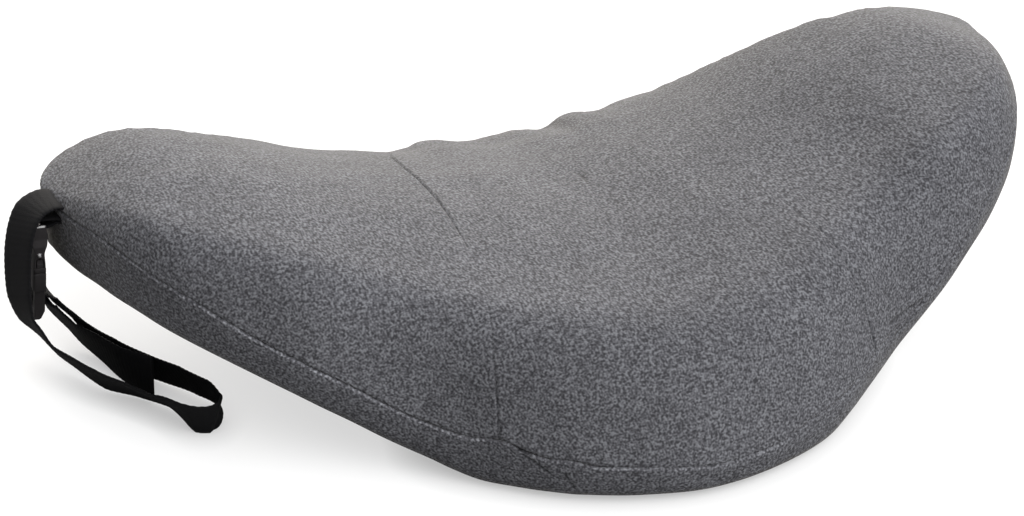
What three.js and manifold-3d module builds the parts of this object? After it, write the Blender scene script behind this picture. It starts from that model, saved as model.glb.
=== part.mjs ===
// Lumbar pillow: a foam filled knit cover with raised wings, and a webbing strap with a side release
// buckle sewn in at the left wing's tip. Millimetres, +Z up, the pillow lies on its back with its
// crowned face up. The origin is on the surface below the middle of the pillow.
import * as THREE from 'three';
import { mergeVertices } from 'three/addons/utils/BufferGeometryUtils.js';
import Module from 'manifold-3d';

const wasm = await Module();
wasm.setup();

// Driving sizes
const wingLength = 256;         // along a wing's middle line, from the pillow's middle to the tip
const roundFrom = 0.54;         // share of the wing where its rounded end begins
const crestAt = { middle: 0.8, tip: 0.79 };       // where the crown is highest, 0 hollow edge, 1 belly edge
const bellyFullness = { middle: 3.5, tip: 2.8 };  // how square the crown falls to the belly edge
const hollowFullness = { middle: 2.2, tip: 2.2 }; // and to the hollow edge
const underInset = 7.8;         // the underside seam lies this far in from the front seam
const bandBulge = 0.6;          // how far the side band swells past the seams
const seamDepth = 1.2;          // how deep a seam is drawn in
const seamHalfWidth = 3.5;      // from a seam to where the panel is full again
const gap = 0.3;                // between neighbouring pieces
const lastRow = 0.9995;         // the rounded end's last section, just short of its point
const webbing = { width: 25, thickness: 1.6 };

// Sections of a wing. along is the share of the wing's length, heading the middle line's turn towards
// the hollow side in degrees, belly and hollow the half widths to either edge, crown the height of the
// crown over the seams, lift the underside's height and band the height of the side band.
const wing = [
  { along: 0.0, heading: 0, belly: 224.5, hollow: 102, crown: 55, lift: 0, band: 19 },
  { along: 0.2, heading: 3, belly: 210, hollow: 98, crown: 54.5, lift: 0, band: 24 },
  { along: 0.4, heading: 6.5, belly: 172, hollow: 88, crown: 51, lift: 8, band: 26 },
  { along: 0.6, heading: 9.5, belly: 148, hollow: 62.5, crown: 37.5, lift: 38, band: 24 },
  { along: 0.8, heading: 14.5, belly: 121, hollow: 44, crown: 21.5, lift: 54, band: 30.5 },
  { along: 1.0, heading: 20, belly: 63, hollow: 68, crown: 6.5, lift: 44, band: 34.5 },
];

// The cross seams: how far along the wing each lies, from the hollow edge (0) to the belly edge (1)
const crossSeam = [
  { across: 0, along: 0.25 },
  { across: 0.25, along: 0.29 },
  { across: 0.5, along: 0.275 },
  { across: 0.75, along: 0.275 },
  { across: 1, along: 0.31 },
];

// Uneven puckers where the middle panel is gathered to the band along the hollow edge
const puckerReach = 0.3;        // share of the panel's width over which they fade out
const puckers = [
  { x: -22, halfWidth: 12, rise: 1.8 },
  { x: 24, halfWidth: 8, rise: 1.3 },
  { x: 54, halfWidth: 12, rise: 2 },
];

// The strap's route. x, y, z is the middle of the webbing, lean how far its front edge is raised and
// turn how far its width is turned from straight to the front, both in degrees.
const strapRoute = [
  { x: -246, y: 11.3, z: 79.8, lean: 3, turn: 9 },
  { x: -255.6, y: 9.8, z: 82, lean: 3, turn: 14 },
  { x: -264.6, y: 6.5, z: 80.8, lean: 6, turn: 20 },
  { x: -270, y: 2.4, z: 74.6, lean: 12, turn: 22 },
  { x: -273.5, y: -2.5, z: 65.5, lean: 16, turn: 23 },
  { x: -275.5, y: -8.2, z: 55.4, lean: 20, turn: 23 },
  { x: -276.6, y: -14.1, z: 45.6, lean: 22, turn: 20 },
  { x: -275.2, y: -19, z: 36.4, lean: 25, turn: 12 },
  { x: -271, y: -23.3, z: 28.8, lean: 30, turn: 4 },
  { x: -265.3, y: -28.4, z: 22, lean: 36, turn: -2 },
  { x: -257, y: -35.8, z: 16.4, lean: 43, turn: -9 },
  { x: -246.4, y: -47, z: 12.3, lean: 48, turn: -16 },
  { x: -234.1, y: -61.3, z: 11.4, lean: 50, turn: -24 },
  { x: -222.5, y: -78, z: 11.4, lean: 51, turn: -30 },
  { x: -215.2, y: -93.2, z: 12.4, lean: 61, turn: -22 },
  { x: -206.2, y: -99, z: 13, lean: 68, turn: -11 },
  { x: -199.4, y: -92.4, z: 13, lean: 66, turn: -11 },
  { x: -200.2, y: -79.4, z: 12.6, lean: 61, turn: -23 },
  { x: -208.4, y: -65, z: 12.4, lean: 60, turn: -26 },
  { x: -219.4, y: -47.7, z: 12.4, lean: 60, turn: -21 },
  { x: -231.4, y: -29.2, z: 12.2, lean: 57, turn: -13 },
  { x: -241.8, y: -11.6, z: 14.8, lean: 44, turn: -6 },
  { x: -250, y: 2, z: 20.6, lean: 24, turn: 2 },
  { x: -256, y: 8.8, z: 28.6, lean: 8, turn: 3 },
];

// The free tail, from the adjuster's lower slot to its cut end
const tailRoute = [
  { x: -256.6, y: 9.3, z: 23.6, lean: 12, turn: 4 },
  { x: -252, y: 2.5, z: 16.4, lean: 30, turn: 1 },
  { x: -247.3, y: -8.6, z: 13.2, lean: 44, turn: -6 },
  { x: -241.2, y: -23.4, z: 12.6, lean: 57, turn: -9 },
  { x: -234.2, y: -40.8, z: 12.8, lean: 69, turn: -12 },
  { x: -225, y: -57.4, z: 13.2, lean: 74, turn: -14 },
];

// The buckle hangs from its tab with its width along Y. Its own frame has X through its thickness,
// Y across and Z along it, with the origin at its middle.
const buckle = {
  place: new THREE.Vector3(-264.1, 11, 50),
  lean: THREE.MathUtils.degToRad(5.3),
  width: 33,
  thickness: 8,
  top: 25.8,
  bottom: -26,
};
const past = 10;                // cuts run this far past the faces they open
const socket = {
  mouth: -9,                    // lower end, over the prong's base
  shoulder: 18.4,               // where the housing steps in to the bar's thickness
  shoulderSlope: 3,
  sideStep: 2,
  corner: 1,
  wall: 1.4,
  cavityTop: 14,
  windowTop: 8.5,               // top of the side windows that the press pads fill
  slotTop: 22.6,
  slotPlay: 0.8,                // the slot is this much wider than the webbing at each side
  barThickness: 3.2,
  wrapRadius: 3.4,              // of the tab round the bar
};
const prong = {
  baseTop: -9.3,
  thickness: 6,
  corner: 1.5,
  tip: 2.6,                     // thickness at the lower end
  taperFrom: -20.5,
  slotWidth: 26.5,
  slotTop: -11.2,
  slotBottom: -19.9,
  barAt: -15.3,                 // the adjuster bar between the two slots
  barRadius: 1.3,
  barSides: 16,
  wrapRadius: 2.5,              // of the strap round that bar
  wrapSide: 4.6,                // the strap passes this far out from the bar
  wrapEnter: -14,
  wrapLeave: -19.2,
  armIn: 9.5,
  armOut: 13.2,
  armThickness: 4.4,
  padIn: 12.8,
  padOut: 17,
  padTop: 7.8,
  padBottom: -8.2,
  padCorner: 1.5,
  padSlope: 2,
  padStep: 0.8,
  tongue: 3,                    // half width of the guide between the arms
  reach: 12,
};

// The tab's two layers from the seam below the strap to the socket's bar and back, in X and Z
const tabOut = [{ x: -246, z: 77 }, { x: -252, z: 77.2 }];
const tabBack = [{ x: -257.4, z: 73 }, { x: -252, z: 75.2 }, { x: -246, z: 75 }];
const tabSlot = { inner: -245.4, outer: -300, low: 73.2, high: 78.4 };

function blend(pair, along) {
  return pair.middle + (pair.tip - pair.middle) * along;
}

// Smooth curve through the named column of a table, level at its first row
function column(table, key, name, at) {
  const last = table.length - 1;
  const slope = (i) => {
    if (i === 0) return 0;
    const a = table[i - 1];
    const b = table[Math.min(i + 1, last)];
    return (b[name] - a[name]) / (b[key] - a[key]);
  };
  let i = 0;
  while (i < last - 1 && at >= table[i + 1][key]) i += 1;
  const step = table[i + 1][key] - table[i][key];
  const u = (at - table[i][key]) / step;
  return (1 + 2 * u) * (1 - u) ** 2 * table[i][name] + u * (1 - u) ** 2 * step * slope(i)
    + u * u * (3 - 2 * u) * table[i + 1][name] + u * u * (u - 1) * step * slope(i + 1);
}

// The wing's middle line in plan, followed in short steps along its heading
const spineSteps = 240;
const spine = [{ x: 0, y: 0 }];
for (let i = 0; i < spineSteps; i += 1) {
  const turn = THREE.MathUtils.degToRad(column(wing, 'along', 'heading', (i + 0.5) / spineSteps));
  const step = wingLength / spineSteps;
  spine.push({ x: spine[i].x + step * Math.cos(turn), y: spine[i].y + step * Math.sin(turn) });
}

function spineAt(along) {
  const i = Math.min(Math.floor(along * spineSteps), spineSteps - 1);
  const u = along * spineSteps - i;
  return new THREE.Vector2(
    THREE.MathUtils.lerp(spine[i].x, spine[i + 1].x, u),
    THREE.MathUtils.lerp(spine[i].y, spine[i + 1].y, u),
  );
}

// Plan and heights of the section at a place along the wing
function sectionAt(along) {
  const value = (name) => column(wing, 'along', name, along);
  const turn = THREE.MathUtils.degToRad(value('heading'));
  const outward = new THREE.Vector2(Math.sin(turn), -Math.cos(turn));
  const past = Math.max(0, (along - roundFrom) / (1 - roundFrom));
  const closing = Math.sqrt(Math.max(0, 1 - past * past));
  const middle = spineAt(along);
  const belly = middle.clone().addScaledVector(outward, value('belly') * closing);
  const hollow = middle.clone().addScaledVector(outward, -value('hollow') * closing);
  hollow.x = Math.max(0, hollow.x);
  return {
    along, belly, hollow, outward, closing,
    width: belly.distanceTo(hollow),
    crown: value('crown') * closing,
    lift: Math.max(0, value('lift')),
    band: value('band'),
  };
}

// A row of the pillow's grid follows the cross seam where it meets it
const seamRow = 0.28;
function alongOf(row, across) {
  const shift = column(crossSeam, 'across', 'along', across) - seamRow;
  const share = row < seamRow ? row / seamRow : (1 - row) / (1 - seamRow);
  return row + shift * share;
}

// How far the puckers raise the panel at x, fading from the hollow edge
function puckerAt(x, across) {
  const fade = Math.max(0, 1 - across / puckerReach) ** 2;
  return puckers.reduce((sum, p) => {
    const away = Math.min(Math.abs(x - p.x) / p.halfWidth, 1);
    return sum + p.rise * fade * 0.5 * (1 + Math.cos(Math.PI * away));
  }, 0);
}

// A point on the top of the right wing, or of the left one where side is -1
function topPoint(row, across, drawnIn, side) {
  const s = sectionAt(alongOf(row, across));
  const crest = blend(crestAt, s.along);
  const onHollow = across < crest;
  const far = onHollow ? (crest - across) / crest : (across - crest) / (1 - crest);
  const power = blend(onHollow ? hollowFullness : bellyFullness, s.along);
  const plan = s.hollow.clone().lerp(s.belly, across);
  const height = s.lift + s.band + s.crown * (1 - far ** power);
  return new THREE.Vector3(plan.x, plan.y, height + puckerAt(side * plan.x, across) - drawnIn);
}

// A point on the side band, up from 0 to 1, of the belly edge (across 1) or the hollow edge (across 0)
function sidePoint(row, across, up, out) {
  const s = sectionAt(alongOf(row, across));
  const plan = (across === 1 ? s.belly : s.hollow).clone();
  plan.addScaledVector(s.outward, (across === 1 ? 1 : -1) * out * s.closing);
  return new THREE.Vector3(plan.x, plan.y, s.lift + s.band * up);
}

function underPoint(row, across) {
  const s = sectionAt(alongOf(row, across));
  const inset = Math.min(underInset / Math.max(s.width, 1), 0.3);
  const plan = s.hollow.clone().lerp(s.belly, inset + across * (1 - 2 * inset));
  return new THREE.Vector3(plan.x, plan.y, s.lift);
}

// One ring of points round a wing: over the crown, down the belly band, below, and up the hollow band
const topColumns = 14;
const underColumns = 6;
const bandRows = [{ up: 0.84, out: 0.7 }, { up: 0.5, out: 1 }, { up: 0.16, out: 0.4 }];
function ring(row, onSeam, side) {
  const points = [];
  for (let j = 1; j < topColumns; j += 1) {
    const across = 0.5 - 0.5 * Math.cos((Math.PI * j) / topColumns);
    points.push(topPoint(row, across, onSeam ? seamDepth : 0, side));
  }
  points.push(sidePoint(row, 1, 1, -seamDepth));
  for (const b of bandRows) points.push(sidePoint(row, 1, b.up, b.out * bandBulge));
  for (let j = 0; j <= underColumns; j += 1) points.push(underPoint(row, 1 - j / underColumns));
  for (const b of bandRows.toReversed()) points.push(sidePoint(row, 0, b.up, b.out * bandBulge));
  points.push(sidePoint(row, 0, 1, -seamDepth));
  if (side < 0) for (const p of points) p.x = -p.x;
  return points;
}

// Rows from the middle to the tip, with three at the cross seam and closer ones near the tip
function wingRows() {
  const rows = [];
  const side = seamHalfWidth / wingLength;
  const inner = 12;
  const outer = 17;
  for (let i = 0; i < inner; i += 1) rows.push({ at: ((seamRow - side) * i) / inner, onSeam: false });
  rows.push({ at: seamRow - side, onSeam: false }, { at: seamRow, onSeam: true });
  for (let i = 0; i < outer; i += 1) {
    const share = Math.sin((Math.PI / 2) * (i / outer));
    rows.push({ at: seamRow + side + (lastRow - seamRow - side) * share, onSeam: false });
  }
  return rows;
}

// Closed geometry from rings of equally many points, capped at both ends
function fromRings(rings) {
  const count = rings[0].length;
  const positions = rings.flat().flatMap((p) => [p.x, p.y, p.z]);
  const index = [];
  for (let i = 0; i + 1 < rings.length; i += 1) {
    for (let j = 0; j < count; j += 1) {
      const a = i * count + j;
      const b = i * count + ((j + 1) % count);
      index.push(a, b, a + count, b, b + count, a + count);
    }
  }
  for (const [i, flip] of [[0, true], [rings.length - 1, false]]) {
    const middle = rings[i].reduce((sum, p) => sum.add(p), new THREE.Vector3()).divideScalar(count);
    const centre = positions.length / 3;
    positions.push(middle.x, middle.y, middle.z);
    for (let j = 0; j < count; j += 1) {
      const a = i * count + j;
      const b = i * count + ((j + 1) % count);
      index.push(...(flip ? [b, a, centre] : [a, b, centre]));
    }
  }
  const geometry = new THREE.BufferGeometry();
  geometry.setAttribute('position', new THREE.Float32BufferAttribute(positions, 3));
  geometry.setIndex(index);
  return geometry;
}

function toSolid(geometry) {
  const clean = geometry.clone();
  clean.deleteAttribute('normal');
  clean.deleteAttribute('uv');
  const merged = mergeVertices(clean, 1e-4);
  return new wasm.Manifold(new wasm.Mesh({
    numProp: 3,
    vertProperties: new Float32Array(merged.attributes.position.array),
    triVerts: new Uint32Array(merged.index.array),
  }));
}

function toGeometry(solid) {
  const mesh = solid.getMesh();
  const geometry = new THREE.BufferGeometry();
  geometry.setAttribute('position', new THREE.BufferAttribute(new Float32Array(mesh.vertProperties), 3));
  geometry.setIndex(Array.from(mesh.triVerts));
  return geometry;
}

function box(x0, x1, y0, y1, z0, z1) {
  const geometry = new THREE.BoxGeometry(x1 - x0, y1 - y0, z1 - z0);
  geometry.translate((x0 + x1) / 2, (y0 + y1) / 2, (z0 + z1) / 2);
  return toSolid(geometry);
}

// Outline in the Y and Z plane, extruded through the thickness
function plate(outline, thickness) {
  const shape = new THREE.Shape(outline.map(([y, z]) => new THREE.Vector2(y, z)));
  const geometry = new THREE.ExtrudeGeometry(shape, { depth: thickness, bevelEnabled: false });
  geometry.translate(0, 0, -thickness / 2);
  geometry.applyMatrix4(new THREE.Matrix4().makeBasis(
    new THREE.Vector3(0, 1, 0), new THREE.Vector3(0, 0, 1), new THREE.Vector3(1, 0, 0),
  ));
  return toSolid(geometry);
}

const stepsPerRow = 3;

// Webbing swept along a route of rows with x, y, z, lean and turn, its first end longer by startExtra
function sweep(route, width, thickness, startExtra = 0) {
  const places = route.map((r) => new THREE.Vector3(r.x, r.y, r.z));
  const curve = new THREE.CatmullRomCurve3(places, false, 'centripetal');
  const steps = (route.length - 1) * stepsPerRow;
  const rings = [];
  for (let i = 0; i <= steps; i += 1) {
    const t = i / steps;
    const k = Math.min(Math.floor(t * (route.length - 1)), route.length - 2);
    const u = t * (route.length - 1) - k;
    const lean = THREE.MathUtils.degToRad(THREE.MathUtils.lerp(route[k].lean, route[k + 1].lean, u));
    const turn = THREE.MathUtils.degToRad(THREE.MathUtils.lerp(route[k].turn, route[k + 1].turn, u));
    const forward = curve.getTangent(t);
    const across = new THREE.Vector3(
      Math.cos(lean) * Math.sin(turn), -Math.cos(lean) * Math.cos(turn), Math.sin(lean),
    );
    across.addScaledVector(forward, -across.dot(forward)).normalize();
    const face = new THREE.Vector3().crossVectors(forward, across);
    const middle = curve.getPoint(t);
    if (i === 0) middle.addScaledVector(forward, -startExtra);
    rings.push([[1, 1], [-1, 1], [-1, -1], [1, -1]].map(([a, b]) => middle.clone()
      .addScaledVector(across, (a * width) / 2)
      .addScaledVector(face, (b * thickness) / 2)));
  }
  return fromRings(rings);
}

// A place in the buckle's own frame, as a row of a webbing route
function inBuckle(x, z) {
  const cos = Math.cos(buckle.lean);
  const sin = Math.sin(buckle.lean);
  return {
    x: buckle.place.x + x * cos + z * sin,
    y: buckle.place.y,
    z: buckle.place.z - x * sin + z * cos,
    lean: 0,
    turn: 0,
  };
}

// Rows of webbing that turns round a bar of the buckle, from one angle to another in degrees
function aroundBar(barZ, radius, from, to, rows) {
  return Array.from({ length: rows }, (_, i) => {
    const angle = THREE.MathUtils.degToRad(from + ((to - from) * i) / (rows - 1));
    return inBuckle(radius * Math.cos(angle), barZ + radius * Math.sin(angle));
  });
}

function strapRows() {
  return [
    ...strapRoute,
    inBuckle(prong.wrapSide, prong.wrapEnter),
    ...aroundBar(prong.barAt, prong.wrapRadius, 80, 280, 7),
    inBuckle(prong.wrapSide, prong.wrapLeave),
    ...tailRoute,
  ];
}

// The tab's two layers leave the seam below the strap and turn round the socket's bar
function tabRows() {
  const barZ = (socket.slotTop + buckle.top) / 2;
  const level = (row) => ({ ...row, y: buckle.place.y, lean: 0, turn: 0 });
  return [...tabOut.map(level), ...aroundBar(barZ, socket.wrapRadius, 80, 290, 8), ...tabBack.map(level)];
}

function pillowSolid() {
  const rows = wingRows();
  const right = rows.map((r) => ring(r.at, r.onSeam, 1));
  const left = rows.slice(1).reverse().map((r) => ring(r.at, r.onSeam, -1));
  const filled = toSolid(fromRings([...left, ...right]));
  // the seam is open where the strap and the tab are sewn in
  const slotWidth = webbing.width + 2 * gap;
  const slotThickness = webbing.thickness + 2 * gap;
  const strapSlot = toSolid(sweep(strapRoute.slice(0, 3), slotWidth, slotThickness, gap));
  const slotLow = buckle.place.y - slotWidth / 2;
  const forTab = box(tabSlot.outer, tabSlot.inner, slotLow, slotLow + slotWidth, tabSlot.low, tabSlot.high);
  return filled.subtract(strapSlot).subtract(forTab);
}

function socketSolid() {
  const half = buckle.width / 2;
  const neck = half - socket.sideStep;
  const slopeFrom = socket.shoulder - socket.shoulderSlope;
  const { corner, shoulder } = socket;
  const { top } = buckle;
  const inside = buckle.thickness / 2 - socket.wall;
  const slotHalf = webbing.width / 2 + socket.slotPlay;
  const thin = socket.barThickness / 2;
  const housing = plate([
    [-half, socket.mouth], [half, socket.mouth], [half, slopeFrom], [neck, shoulder], [neck, top - corner],
    [neck - corner, top], [corner - neck, top], [-neck, top - corner], [-neck, shoulder], [-half, slopeFrom],
  ], buckle.thickness);
  return housing
    .subtract(box(thin, past, -half - 1, half + 1, shoulder, top + 1))
    .subtract(box(-past, -thin, -half - 1, half + 1, shoulder, top + 1))
    .subtract(box(-past, past, -slotHalf, slotHalf, shoulder, socket.slotTop))
    .subtract(box(-inside, inside, -neck, neck, socket.mouth - 1, socket.cavityTop))
    .subtract(box(-inside, inside, -half - 1, half + 1, socket.mouth - 1, socket.windowTop));
}

// One press arm of the prong half, on the side given by its sign
function armSolid(side) {
  const p = prong;
  const foot = p.baseTop - 1;
  return plate([
    [p.armIn, foot], [p.armOut, foot], [p.padIn, p.padBottom], [p.padOut, p.padBottom + 1],
    [p.padOut, p.padTop - p.padSlope], [p.padOut - p.padCorner, p.padTop], [p.armOut + p.padStep, p.padTop],
    [p.armOut, p.reach], [p.armIn, p.reach],
  ].map(([y, z]) => [side * y, z]), p.armThickness);
}

function prongSolid() {
  const p = prong;
  const half = buckle.width / 2;
  const { bottom } = buckle;
  const base = plate([
    [p.corner - half, bottom], [half - p.corner, bottom], [half, bottom + p.corner], [half, p.baseTop],
    [-half, p.baseTop], [-half, bottom + p.corner],
  ], p.thickness);
  // the end is a wedge, thinner on the side where the strap leaves
  const wedge = new THREE.ExtrudeGeometry(new THREE.Shape([
    new THREE.Vector2(p.thickness / 2, p.taperFrom),
    new THREE.Vector2(p.thickness, p.taperFrom),
    new THREE.Vector2(p.thickness, bottom - 1),
    new THREE.Vector2(p.tip - p.thickness / 2, bottom - 1),
  ]), { depth: buckle.width + 4, bevelEnabled: false });
  wedge.rotateX(Math.PI / 2);
  wedge.translate(0, half + 2, 0);
  const bar = new THREE.CylinderGeometry(p.barRadius, p.barRadius, p.slotWidth + 2, p.barSides);
  bar.translate(0, 0, p.barAt);
  const slotHalf = p.slotWidth / 2;
  const armHalf = p.armThickness / 2;
  return base
    .subtract(toSolid(wedge))
    .subtract(box(-past, past, -slotHalf, slotHalf, p.slotBottom, p.slotTop))
    .add(toSolid(bar))
    .add(armSolid(1))
    .add(armSolid(-1))
    .add(box(-armHalf, armHalf, -p.tongue, p.tongue, p.baseTop - 1, p.reach));
}

const knit = new THREE.MeshStandardMaterial({ color: 0x6e6f73, roughness: 0.95, metalness: 0 });
const blackWebbing = new THREE.MeshStandardMaterial({ color: 0x17171a, roughness: 0.85, metalness: 0 });
const tabWebbing = new THREE.MeshStandardMaterial({ color: 0x1b1a1e, roughness: 0.85, metalness: 0 });
const socketPlastic = new THREE.MeshStandardMaterial({ color: 0x2c2c2e, roughness: 0.45, metalness: 0 });
const prongPlastic = new THREE.MeshStandardMaterial({ color: 0x313133, roughness: 0.45, metalness: 0 });

function piece(name, geometry, material) {
  const mesh = new THREE.Mesh(geometry, material);
  mesh.name = name;
  return mesh;
}

const pillow = piece('pillow', toGeometry(pillowSolid()), knit);
const strap = piece('strap', sweep(strapRows(), webbing.width, webbing.thickness), blackWebbing);
const tab = piece('tab', sweep(tabRows(), webbing.width, webbing.thickness), tabWebbing);
const buckleGroup = new THREE.Group();
buckleGroup.position.copy(buckle.place);
buckleGroup.rotation.y = buckle.lean;
buckleGroup.add(
  piece('buckle_socket', toGeometry(socketSolid()), socketPlastic),
  piece('buckle_prong', toGeometry(prongSolid()), prongPlastic),
);

const group = new THREE.Group();
group.add(pillow, strap, tab, buckleGroup);

export default group;
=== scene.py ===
"""Lumbar pillow with a webbing strap: a melange knit cover round foam, black webbing and a moulded buckle.

Sizes are in millimetres and meshes in metres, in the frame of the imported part: +Z up, the pillow lying on
its back with its crowned face up, the strap at the tip on the -X side.
"""
import math
from collections import namedtuple

import bmesh
import bpy
import numpy as np
from bpy.props import FloatProperty, FloatVectorProperty, PointerProperty
from mathutils import Matrix, Vector


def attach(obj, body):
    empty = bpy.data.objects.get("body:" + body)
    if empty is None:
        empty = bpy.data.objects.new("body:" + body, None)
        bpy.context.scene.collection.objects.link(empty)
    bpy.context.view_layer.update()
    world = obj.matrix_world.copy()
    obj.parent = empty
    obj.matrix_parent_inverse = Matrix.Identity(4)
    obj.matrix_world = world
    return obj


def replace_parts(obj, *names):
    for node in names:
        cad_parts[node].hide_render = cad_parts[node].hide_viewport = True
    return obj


bl_info = {
    "name": "Lumbar pillow",
    "version": (1, 0, 0),
    "blender": (4, 5, 0),
    "location": "View3D > Sidebar > Pillow",
    "description": "Makes a knit covered lumbar pillow with its strap and buckle",
    "category": "Object",
}

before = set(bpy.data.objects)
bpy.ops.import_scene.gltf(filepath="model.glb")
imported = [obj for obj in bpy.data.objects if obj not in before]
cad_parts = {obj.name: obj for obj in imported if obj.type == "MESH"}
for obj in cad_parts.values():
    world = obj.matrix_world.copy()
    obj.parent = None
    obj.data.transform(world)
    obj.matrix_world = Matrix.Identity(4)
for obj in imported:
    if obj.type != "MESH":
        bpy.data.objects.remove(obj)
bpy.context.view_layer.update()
MM = 0.001


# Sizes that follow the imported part

def table(kind, *rows):
    """Rows of one kind."""
    return tuple(kind(*row) for row in rows)


Section = namedtuple("Section", "along heading belly hollow crown lift band")

# Sections of a wing, from the pillow's middle to the tip. along is the share of the wing's length, heading
# the middle line's turn towards the hollow side in degrees, belly and hollow the half widths, crown the
# height over the seams, lift the underside's height and band the height of the side band.
WING = table(
    Section,
    (0.0, 0, 224.5, 102, 55, 0, 19),
    (0.2, 3, 210, 98, 54.5, 0, 24),
    (0.4, 6.5, 172, 88, 51, 8, 26),
    (0.6, 9.5, 148, 62.5, 37.5, 38, 24),
    (0.8, 14.5, 121, 44, 21.5, 54, 30.5),
    (1.0, 20, 63, 68, 6.5, 44, 34.5),
)
WING_LENGTH = 256
ROUND_FROM = 0.54         # share of the wing where its rounded end begins
CREST = (0.8, 0.79)       # where the crown is highest across, in the middle and at the tip
BELLY_FULLNESS = (3.5, 2.8)  # how square the crown falls to the belly edge
HOLLOW_FULLNESS = 2.2     # and to the hollow edge
UNDER_INSET = 12          # the band's rounded lower edge reaches this far in
INSET_SHARE = 0.3         # but no further than this share of the pillow's width
UNDER_ROUND = 12          # and it starts this far up
BAND_BULGE = 0.6          # how far the band swells out at half its height
TIP_FADE = 9              # the relief fades where the top panel is narrower than this

CrossSeam = namedtuple("CrossSeam", "across left right left_depth right_depth")

# The two seams across the top, from the hollow edge (0) to the belly edge (1): the share of each wing where
# they lie and how deep they are drawn in. They fade where the cloth is tight over the crown.
CROSS_SEAM = table(
    CrossSeam,
    (0.0, 0.25, 0.25, 0.2, 0.2),
    (0.2, 0.284, 0.284, 1.1, 0.1),
    (0.5, 0.275, 0.275, 1.1, 0.1),
    (0.75, 0.275, 0.275, 0.15, 0.3),
    (0.85, 0.286, 0.284, 0.3, 0.6),
    (0.93, 0.297, 0.297, 0.5, 0.9),
    (0.965, 0.3007, 0.307, 0.6, 0.9),
    (1.0, 0.305, 0.32, 0.8, 1.3),
)
SEAM_ROW = 0.28           # the row of the grid that lies on a cross seam
CROSS_SEAM_FULL = 2.4     # a cross seam this deep gets its full painted shade

Rise = namedtuple("Rise", "x amount")

# How far the cloth stands above the plain form along the hollow edge, gathered by its sewing in the middle
HOLLOW_EDGE = table(
    Rise, (-256, 0.4), (-225, 1.2), (-205, 1.3), (-180, 0.5), (-150, -0.2), (-110, -0.5), (-82, 0.8),
    (-72, 0), (-56, -2.4), (-47, -0.8), (-38, 1.8), (-27, 2.5), (-12, 0.2), (6, 0.6), (17, 0.7),
    (25, -1.2), (34, -3.2), (43, 1.6), (51, 2.7), (60, 0.4), (67, 0), (80, 1.3), (95, 0.2), (120, 0.7),
    (160, 0.4), (178, -0.4), (195, -2.6), (228, -3.1), (243, -1.4), (256, 0),
)
EDGE_REACH = (0.3, 1.1)   # how far across it fades, in the middle and at the tips
REACH_FROM = 80           # between this far from the middle
REACH_OVER = 80           # and this much further, the one becomes the other

# How far the front seam lies above the plain form's, with the small jog where a cross seam meets it
FRONT_SEAM = table(
    Rise, (-256, 0), (-249, 0), (-243, 1.3), (-236, 1.5), (-225, 0.4), (-208, 0.8), (-196, 0.1),
    (-180, -0.7), (-150, -0.4), (-128, -1.6), (-116, -1.9), (-106, -1.5), (-92, 2.1), (-86, 0),
    (-75, -1.6), (-65, -0.4), (-56, -1.7), (-30, -0.3), (-8, -0.4), (20, -1.6), (33, -2.5), (50, 0.3),
    (68, -0.5), (86, 0.3), (100, 2), (116, -0.8), (132, -4.5), (160, -2.3), (256, 0),
)
PANEL_FOLLOWS_FROM = 0.9  # the top panel rises with the seam from this share across
PANEL_FOLLOWS = 100       # which brings the square of the last tenth to 1

Shown = namedtuple("Shown", "x dark light")

# How plainly the front seam shows along its length: the painted shade in its groove, which also sets how deep
# the groove is, and the painted highlight on the edge below it
SEAM_SHOWN = table(
    Shown, (-256, 0.9, 0.1), (-243, 0.85, 0.5), (-234, 0.6, 1), (-205, 0.7, 1), (-188, 0.95, 1),
    (-150, 0.75, 0.8), (-140, 0.5, 0.9), (-116, 0.5, 1), (-99, 0.25, 1.1), (-93, 0.9, 0.4),
    (-84, 0.95, 0.3), (-78, 0.55, 0.6), (-60, 0.5, 0.5), (-50, 0.2, 0.9), (0, 0.15, 0.6), (50, 0.12, 0.3),
    (110, 0.2, 0.1), (256, 0.3, 0),
)
OTHER_SEAMS_SHOWN = (0.7, 0.6)  # the same for the seams at the hollow edge and the underside

# How far the lower edge of the band lies above the plain form's
LOWER_EDGE = table(
    Rise, (-256, 0), (-190, -0.6), (-165, -1.3), (-145, 0.3), (-130, 1.2), (-120, 0.6), (-110, -1.2),
    (-98, -2.5), (-82, -1), (-70, 0), (0, 0), (42, -0.6), (66, 0), (80, 2.8), (102, 4.4), (128, 3.9),
    (150, 1.9), (168, 2), (190, 0.2), (210, 1.2), (256, 0),
)

Crease = namedtuple("Crease", "start end depth width")

# Creases in the cloth, each a trough from one point of the surface to another, with painted shade along it
CREASES = table(
    Crease,
    ((-88, -190, 28), (-73, -203, 15), 0.55, 0.8),
    ((-70, -205, 18), (-64, -207, 8), 0.4, 0.9),
    ((9, -19, 60), (8, -36, 64), 0.4, 1.2),
    ((108, -173, 37), (141, -154, 36), 0.45, 1.0),
    ((113, -172, 29), (132, -159, 31), 0.4, 1.0),
    ((110, -164, 54), (112, -166, 46), 0.25, 1.0),
    ((93, -164, 67), (97, -172, 56), 0.4, 0.9),
)
CREASE_CUTS = 2           # faces beside a crease are cut this often
CREASE_REACH = 3.6        # as far as this to each side
CREASE_PAST = 0.1         # it runs on past each end by this share of its length
CREASE_FADE = 0.3         # and fades over this share
CREASE_FULL = 0.7         # one this deep gets its full painted shade

# The filling is fuller by the right tip
FULL_AT = (236, -52, 74)
FULL_REACH = 34
FULLNESS = 1.8

Waves = namedtuple("Waves", "length seed")

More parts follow.
